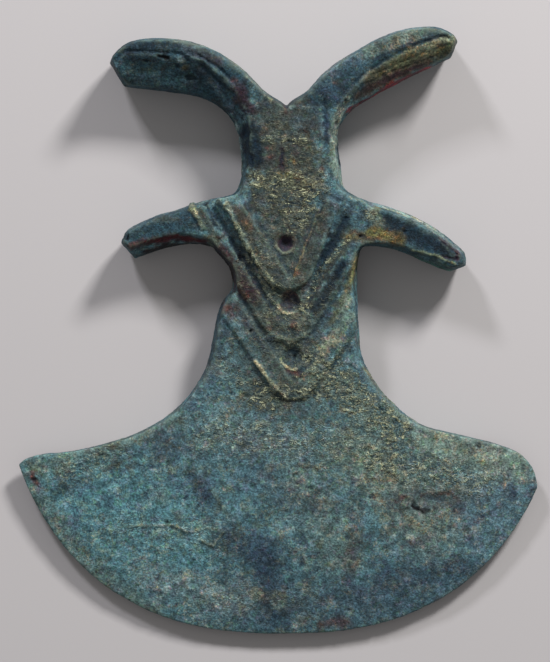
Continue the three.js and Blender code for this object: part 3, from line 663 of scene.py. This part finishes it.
def stroke_group() -> bpy.types.NodeTree:
    """Makes the node group that says how far a place is inside a rounded stroke.

    Returns:
        The group. Its mask is 1 in the middle of the stroke and fades to 0 at its radius.
    """
    takes = (("Where", "Vector"), ("From", "Vector"), ("To", "Vector"),
             ("Radius", "Float"), ("Fade", "Float"), ("Fray", "Float"))
    tree = node_group("Stroke", takes, ("Mask", "Float"))
    wire = Wiring(tree)
    given = wire.add("NodeGroupInput").outputs
    along = wire.vector("SUBTRACT", given["To"], given["From"])
    away = wire.vector("SUBTRACT", given["Where"], given["From"])
    squared = wire.math("MAXIMUM", wire.vector("DOT_PRODUCT", along, along), 0.01)
    share = wire.math("DIVIDE", wire.vector("DOT_PRODUCT", away, along), squared, clamp=True)
    distance = wire.times(wire.vector("DISTANCE", away, wire.scaled(along, share)), given["Fray"])
    full = wire.times(given["Radius"], wire.math("SUBTRACT", 1.0, given["Fade"]))
    wire.add("NodeGroupOutput", {0: wire.ramp(distance, given["Radius"], full)})
    return tree


@dataclass(frozen=True)
class Brush:
    """Lays strokes on the front of the mesh that one tree works on."""

    wire: Wiring
    group: bpy.types.NodeTree
    fray: Socket
    front: Socket
    flat: Socket

    def mask(self, stroke: Stroke, place: Socket) -> Socket:
        """How far a place is inside one stroke."""
        node = self.wire.add("GeometryNodeGroup", node_tree=self.group, label=stroke.name)
        ends = (*stroke.start, 0.0), (*stroke.end, 0.0)
        for socket, value in zip(node.inputs, (place, *ends, stroke.radius, stroke.fade, self.fray)):
            self.wire.feed(socket, value)
        return node.outputs[0]

    def laid(self, strokes: tuple[Stroke, ...], place: Socket) -> Socket:
        """The strokes of a list, each times its amount, added up on the front."""
        terms = [self.wire.times(self.mask(stroke, place), stroke.amount) for stroke in strokes]
        return self.wire.times(self.wire.total(terms), self.front)

    def tint(self, *layers: tuple[tuple[Stroke, ...], Socket]) -> Socket:
        """The ground colour with every stain on it, thinner on walls and none on the back."""
        colour = TEAL
        for strokes, place in layers:
            for stain in strokes:
                share = self.wire.times(self.mask(stain, place), stain.amount)
                colour = self.wire.blend(share, colour, stain.tone)
        for part in (self.flat, self.front):
            colour = self.wire.blend(part, PINE, colour)
        return colour


@dataclass(frozen=True)
class CorrosionRelief:
    """The Geometry Nodes that corrode the casting. Each field is an input, in millimetres."""

    unevenness: float = 0.5
    lumps: float = 0.5
    grain: float = 0.3
    crust: float = 0.34
    pitting: float = 0.4
    wander: float = 0.9
    seed: float = 4.0

    def tree(self, material: bpy.types.Material) -> bpy.types.NodeTree:
        """Builds the tree.

        Args:
            material: The finish of the casting.

        Returns:
            The tree. It stores the marks `tint`, `crust`, `growth`, `pit`, `crest` and `cavity`.
        """
        mesh = ("Geometry", "Geometry")
        numbers = tuple((part.name.title(), "Float") for part in fields(self))
        tree = node_group("Corrosion relief", (mesh, *numbers), mesh)
        wire = Wiring(tree)
        given = wire.add("NodeGroupInput").outputs
        position = wire.add("GeometryNodeInputPosition").outputs[0]
        normal = wire.add("GeometryNodeInputNormal").outputs[0]
        facing = wire.add("ShaderNodeSeparateXYZ", {0: normal}).outputs[2]
        bare = wire.scaled(position, PER_METRE)
        where = wire.vector("ADD", bare, wire.scaled(SEED_STEP, given["Seed"]))
        place = self.wandering(wire, bare, where, given["Wander"])
        torn = self.ragged(wire, place, where)
        fray = wire.ramp(wire.noise(where, FRAY), 0.3, 0.7, 0.6, 1.5)
        front = wire.ramp(facing, -0.35, 0.05)
        flat = wire.ramp(facing, 0.0, 0.35, 0.35, 1.0)
        brush = Brush(wire, stroke_group(), fray, front, flat)

        crusted = wire.math("MINIMUM", wire.math("ADD", brush.laid(CRUST, place), 0.1), 1.0)
        worms = wire.noise(wire.vector("MULTIPLY", where, WORM_STRETCH), WORMS)
        worm = wire.ramp(wire.math("ABSOLUTE", wire.centred(worms)), 0.05, 0.0)
        flakes = wire.ramp(wire.noise(where, FLAKES), 0.5, 0.56)
        growth = wire.times(crusted, wire.math("MAXIMUM", worm, wire.times(flakes, 0.7)))
        pits = self.pits(wire, where)
        pitted = wire.math("MAXIMUM", wire.math("MINIMUM", brush.laid(PITS, torn), 1.0),
                           wire.times(pits, 0.28))
        height = wire.total([
            wire.times(wire.centred(wire.noise(where, UNEVENNESS)), given["Unevenness"]),
            wire.times(wire.centred(wire.noise(where, LUMPS)), given["Lumps"]),
            wire.times(wire.centred(wire.noise(where, GRAIN)), given["Grain"]),
            wire.times(growth, given["Crust"]),
            wire.times(pits, wire.times(given["Pitting"], -1.0)),
            brush.laid(FORMS, place),
        ])

        tint = brush.tint((STAINS, place), (FLECKS, torn))
        body = wire.store(given["Geometry"], "tint", tint, "FLOAT_COLOR")
        for name, value in (("crust", crusted), ("growth", growth), ("pit", pitted)):
            body = wire.store(body, name, value)
        body = self.displaced(wire, body, position, normal, height)
        body = self.curvature(wire, body, position, normal)
        for kind in ("GeometryNodeSetShadeSmooth", "GeometryNodeRealizeInstances"):
            body = wire.add(kind, {0: body}).outputs[0]
        body = wire.add("GeometryNodeSetMaterial", {"Geometry": body, "Material": material}).outputs[0]
        wire.add("NodeGroupOutput", {0: body})
        return tree

    @staticmethod
    def wandering(wire: Wiring, bare: Socket, where: Socket, reach: Socket) -> Socket:
        """The place on the front, moved about by noise so that the strokes have ragged edges."""
        coarse = wire.vector("SUBTRACT", wire.noise(where, WANDER, 1), (0.5, 0.5, 0.5))
        moved = wire.vector("ADD", bare, wire.scaled(coarse, wire.times(reach, 2.0)))
        return wire.vector("MULTIPLY", moved, (1.0, 1.0, 0.0))

    @staticmethod
    def ragged(wire: Wiring, place: Socket, where: Socket) -> Socket:
        """A place moved about by fine noise, for torn rims."""
        fine = wire.vector("SUBTRACT", wire.noise(where, TEAR, 1), (0.5, 0.5, 0.5))
        return wire.vector("ADD", place, wire.vector("MULTIPLY", fine, TEAR_REACH))

    @classmethod
    def pits(cls, wire: Wiring, where: Socket) -> Socket:
        """Small pits strewn over the metal, in some cells of a pattern of cells."""
        place = wire.seeded(cls.ragged(wire, where, where), PIT_SEED)
        cells = wire.add("ShaderNodeTexVoronoi", {"Vector": place, "Scale": 1.0 / PIT_CELL}).outputs
        chance = wire.add("ShaderNodeSeparateXYZ", {0: cells[1]}).outputs[0]
        return wire.times(wire.ramp(cells[0], 0.32, 0.08), wire.ramp(chance, 0.8, 1.0))

    @staticmethod
    def displaced(wire: Wiring, body: Socket, position: Socket, normal: Socket,
                  height: Socket) -> Socket:
        """Moves every point out by `height` millimetres, and none below the floor."""
        out = wire.scaled(normal, wire.math("DIVIDE", height, PER_METRE))
        moved = wire.vector("MAXIMUM", wire.vector("ADD", position, out), (-1.0, -1.0, 0.0))
        return wire.add("GeometryNodeSetPosition", {"Geometry": body, "Position": moved}).outputs[0]

    @staticmethod
    def curvature(wire: Wiring, body: Socket, position: Socket, normal: Socket) -> Socket:
        """Stores how far each point stands out from, or is sunk in, what surrounds it."""
        def stands_out(rounds: int) -> Socket:
            """How far a point stands out, in millimetres, from the mean of its surroundings."""
            inputs = {"Value": position, "Iterations": rounds}
            blur = wire.add("GeometryNodeBlurAttribute", inputs, data_type="FLOAT_VECTOR")
            away = wire.vector("SUBTRACT", position, blur.outputs[0])
            return wire.times(wire.vector("DOT_PRODUCT", away, normal), PER_METRE)
        wide = stands_out(BROAD_ROUNDS)
        close = stands_out(CLOSE_ROUNDS)
        for name, broad, sharp in CURVES:
            share = wire.total([wire.ramp(wide, *broad, 0.0, 0.8), wire.ramp(close, *sharp, 0.0, 0.5)])
            body = wire.store(body, name, wire.math("MINIMUM", share, 1.0))
        return body

    def apply(self, piece: bpy.types.Object, material: bpy.types.Material) -> None:
        """Adds the tree to a piece as a modifier, with its inputs set by their identifiers."""
        tree = self.tree(material)
        modifier = piece.modifiers.new("Corrosion", "NODES")
        modifier.node_group = tree
        sockets = [item for item in tree.interface.items_tree if item.in_out == "INPUT"][1:]
        for socket, value in zip(sockets, astuple(self)):
            modifier[socket.identifier] = value


@dataclass(frozen=True)
class PatinatedBronze:
    """Old bronze under blue-green, sage and dark patina. It reads the marks of the relief."""

    roughness: float = 0.66
    specular: float = 0.22
    bump: float = 0.85
    bump_height: float = 0.00042

    def material(self) -> bpy.types.Material:
        """Builds the material.

        Returns:
            The material.
        """
        material = bpy.data.materials.new("patinated_bronze")
        material.use_nodes = True
        material.node_tree.nodes.clear()
        wire = Wiring(material.node_tree)
        where = wire.scaled(wire.add("ShaderNodeTexCoord").outputs["Object"], PER_METRE)
        middle = wire.noise(where, MOTTLE)
        fine = wire.noise(where, FINE_MOTTLE)
        veins = wire.math("ABSOLUTE", wire.centred(wire.noise(where, VEINS)))
        veined = wire.times(wire.ramp(veins, 0.024, 0.004),
                            wire.ramp(wire.noise(where, VEINED_PLACES), 0.48, 0.58))
        worms = wire.noise(wire.vector("MULTIPLY", where, CRUST_WORM_STRETCH), CRUST_WORMS)
        worms = wire.math("ABSOLUTE", wire.centred(worms))
        broken = wire.times(wire.ramp(wire.noise(where, BROKEN_CRUST), 0.44, 0.56),
                            wire.ramp(wire.mark("crust"), 0.1, 0.9))
        worm = wire.times(wire.ramp(worms, 0.055, 0.015), broken)

        colour = self.ground(wire, where, middle, fine, veined)
        colour = self.crusted(wire, where, colour, worms, worm)
        colour = wire.blend(wire.times(wire.mark("cavity"), 0.5), colour, DEEP)
        patchy = wire.ramp(wire.noise(where, PALE_CRESTS), 0.42, 0.6, 0.05, 0.32)
        colour = wire.blend(wire.times(wire.mark("crest"), patchy), colour, MINT)
        # Pits painted black: partly dark corrosion, partly painted shade of their depth.
        colour = wire.blend(wire.mark("pit"), colour, BLACK)

        rough = wire.ramp(middle, 0.3, 0.7, self.roughness - 0.12, self.roughness + 0.14)
        raised = ((fine, 0.7), (worm, 1.6), (veined, 0.3))
        height = wire.total([middle, *(wire.times(layer, share) for layer, share in raised)])
        bump = wire.add("ShaderNodeBump", {"Strength": self.bump, "Distance": self.bump_height,
                                           "Height": height})
        shader = wire.add("ShaderNodeBsdfPrincipled", {
            "Base Color": colour, "Roughness": rough, "Normal": bump.outputs[0],
            "Specular IOR Level": self.specular, "Metallic": 0.0})
        wire.add("ShaderNodeOutputMaterial", {0: shader.outputs[0]})
        return material

    @staticmethod
    def ground(wire: Wiring, where: Socket, middle: Socket, fine: Socket, veined: Socket) -> Socket:
        """The stains of the relief, mottled by the clouds, by two sizes of mottle and by pale veins."""
        colour = wire.mark("tint", "Color")
        for cloud in CLOUDS:
            share = wire.ramp(wire.noise(where, cloud.noise), cloud.low, cloud.high, 0.0, cloud.share)
            colour = wire.tinted(share, colour, over_teal(cloud.tone))
        colour = wire.shaded(1.0, colour, wire.ramp(middle, 0.36, 0.64, 0.6, 1.4))
        colour = wire.shaded(1.0, colour, wire.ramp(fine, 0.34, 0.66, 0.55, 1.5))
        return wire.tinted(wire.times(veined, 0.6), colour, over_teal(MINT))

    @staticmethod
    def crusted(wire: Wiring, where: Socket, colour: Socket, worms: Socket, worm: Socket) -> Socket:
        """The ground with crust on it: pale worms, partly pale crust and partly painted highlight on
        the lit edges of its ridges, dark gaps between them, and specks.
        """
        crust = wire.mark("crust")
        pale = wire.blend(crust, wire.tinted(1.0, colour, BRIGHTER), CREAM)
        grown = wire.math("MAXIMUM", worm, wire.times(wire.mark("growth"), 0.15))
        gap = wire.times(wire.ramp(worms, 0.05, 0.14), crust)
        colour = wire.blend(wire.times(crust, 0.3), colour, OLIVE)
        colour = wire.blend(wire.times(gap, 0.6), colour, PINE)
        # Pale worms: partly pale crust, partly painted highlight on the lit edges of its ridges.
        colour = wire.blend(grown, colour, pale)
        specks = wire.ramp(wire.noise(where, CRUST_SPECKS), 0.36, 0.64, 0.4, 1.7)
        return wire.shaded(wire.times(crust, 0.9), colour, specks)


@dataclass
class Casting:
    """The axe head itself: the CAD solid with its edges worn round and its skin corroded."""

    name: str = "axe_head_casting"
    voxel: float = 0.00038
    wear_rounds: int = 3
    faces: int = 192_000
    relief: CorrosionRelief = field(default_factory=CorrosionRelief)
    finish: PatinatedBronze = field(default_factory=PatinatedBronze)

    def blank(self, node: bpy.types.Object) -> bpy.types.Object:
        """A copy of the CAD node's mesh with its loose triangles joined.

        Args:
            node: The CAD node.

        Returns:
            The copy.
        """
        mesh = node.data.copy()
        shell = bmesh.new()
        shell.from_mesh(mesh)
        bmesh.ops.remove_doubles(shell, verts=shell.verts, dist=1e-6)
        shell.to_mesh(mesh)
        shell.free()
        mesh.materials.clear()
        blank = bpy.data.objects.new(f"{self.name}_blank", mesh)
        bpy.context.scene.collection.objects.link(blank)
        return blank

    def build(self, node: bpy.types.Object) -> bpy.types.Object:
        """Builds the dressed casting.

        Args:
            node: The CAD node that it replaces.

        Returns:
            The piece.
        """
        blank = self.blank(node)
        remesh = blank.modifiers.new("Skin", "REMESH")
        remesh.mode = "VOXEL"
        remesh.voxel_size = self.voxel
        wear = blank.modifiers.new("Wear", "SMOOTH")
        wear.factor = 0.5
        wear.iterations = self.wear_rounds
        self.relief.apply(blank, self.finish.material())
        raised = self.plain(blank, f"{self.name}_raised")
        thin = raised.modifiers.new("Thin", "DECIMATE")
        triangles = sum(len(face.vertices) - 2 for face in raised.data.polygons)
        thin.ratio = min(1.0, self.faces / triangles)
        piece = self.plain(raised, self.name)
        LOG.info("%s: %d triangles before thinning", self.name, triangles)
        return piece

    @staticmethod
    def plain(source: bpy.types.Object, name: str) -> bpy.types.Object:
        """Bakes an object's modifiers into a plain mesh, and removes the object.

        Args:
            source: The object with modifiers.
            name: The name of the plain one.

        Returns:
            The plain object.
        """
        depsgraph = bpy.context.evaluated_depsgraph_get()
        mesh = bpy.data.meshes.new_from_object(source.evaluated_get(depsgraph))
        bpy.data.objects.remove(source)
        mesh.name = name
        result = bpy.data.objects.new(name, mesh)
        bpy.context.scene.collection.objects.link(result)
        return result


@dataclass
class Floor:
    """The plain pale floor."""

    half_side: float = 3.0

    def build(self) -> bpy.types.Object:
        mesh = bpy.data.meshes.new("floor")
        side = self.half_side
        corners = [(-side, -side, 0), (side, -side, 0), (side, side, 0), (-side, side, 0)]
        mesh.from_pydata(corners, [], [(0, 1, 2, 3)])
        floor = bpy.data.objects.new("floor", mesh)
        bpy.context.scene.collection.objects.link(floor)
        material = bpy.data.materials.new("pale_floor")
        material.use_nodes = True
        shader = material.node_tree.nodes["Principled BSDF"]
        shader.inputs["Base Color"].default_value = linear(205, 202, 202)
        shader.inputs["Roughness"].default_value = 0.9
        mesh.materials.append(material)
        return floor


@dataclass
class Lamp:
    """A square studio lamp that looks at the casting."""

    name: str
    place: tuple[float, float, float]
    side: float
    power: float
    colour: tuple[float, float, float]

    def build(self) -> bpy.types.Object:
        """Builds the lamp and turns it to the origin."""
        data = bpy.data.lights.new(self.name, "AREA")
        data.shape = "SQUARE"
        data.size = self.side
        data.energy = self.power
        data.color = self.colour
        lamp = bpy.data.objects.new(self.name, data)
        lamp.location = self.place
        lamp.rotation_euler = (-Vector(self.place)).to_track_quat("-Z", "Y").to_euler()
        bpy.context.scene.collection.objects.link(lamp)
        return lamp


@dataclass
class Studio:
    """Soft lamps beyond the horns, a pale surround, and the camera above the casting."""

    surround: float = 0.22
    lamps: tuple[Lamp, ...] = (
        Lamp("left_lamp", (-0.60, 1.20, 0.80), 0.22, 9.6, (0.96, 0.95, 1.0)),
        Lamp("right_lamp", (0.50, 0.80, 0.58), 0.2, 11.0, (1.0, 0.98, 0.97)),
    )
    frame_height: float = 0.191
    aim: tuple[float, float, float] = (-0.0009, 0.0, 0.012)
    distance: float = 1.1
    sensor: float = 36.0

    def light(self) -> None:
        """Lights the scene."""
        for lamp in self.lamps:
            lamp.build()
        world = bpy.data.worlds.new("surround")
        world.use_nodes = True
        backdrop = world.node_tree.nodes["Background"]
        backdrop.inputs["Color"].default_value = (1.0, 0.985, 0.98, 1.0)
        backdrop.inputs["Strength"].default_value = self.surround
        bpy.context.scene.world = world

    def camera(self) -> bpy.types.Object:
        """Places the camera straight above the casting, with the horns at the top."""
        data = bpy.data.cameras.new("camera")
        data.sensor_width = self.sensor
        data.lens = self.sensor * self.distance / self.frame_height
        data.clip_start = 0.01
        data.clip_end = 20.0
        camera = bpy.data.objects.new("camera", data)
        camera.location = Vector(self.aim) + Vector((0.0, 0.0, self.distance))
        bpy.context.scene.collection.objects.link(camera)
        bpy.context.scene.camera = camera
        return camera


def main() -> None:
    """Builds the casting and the studio round it, and reports each piece."""
    logging.basicConfig(level=logging.INFO, format="%(name)s: %(message)s")
    casting = Casting()
    piece = casting.build(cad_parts["axe_head"])
    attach(piece, "root")
    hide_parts("axe_head")
    LOG.info("%s: %d faces, %d points", piece.name, len(piece.data.polygons), len(piece.data.vertices))
    Floor().build()
    studio = Studio()
    studio.light()
    studio.camera()
    bpy.context.scene.view_settings.view_transform = "Standard"
    LOG.info("floor, lamps and camera are in place")


if __name__ == "__main__":
    main()
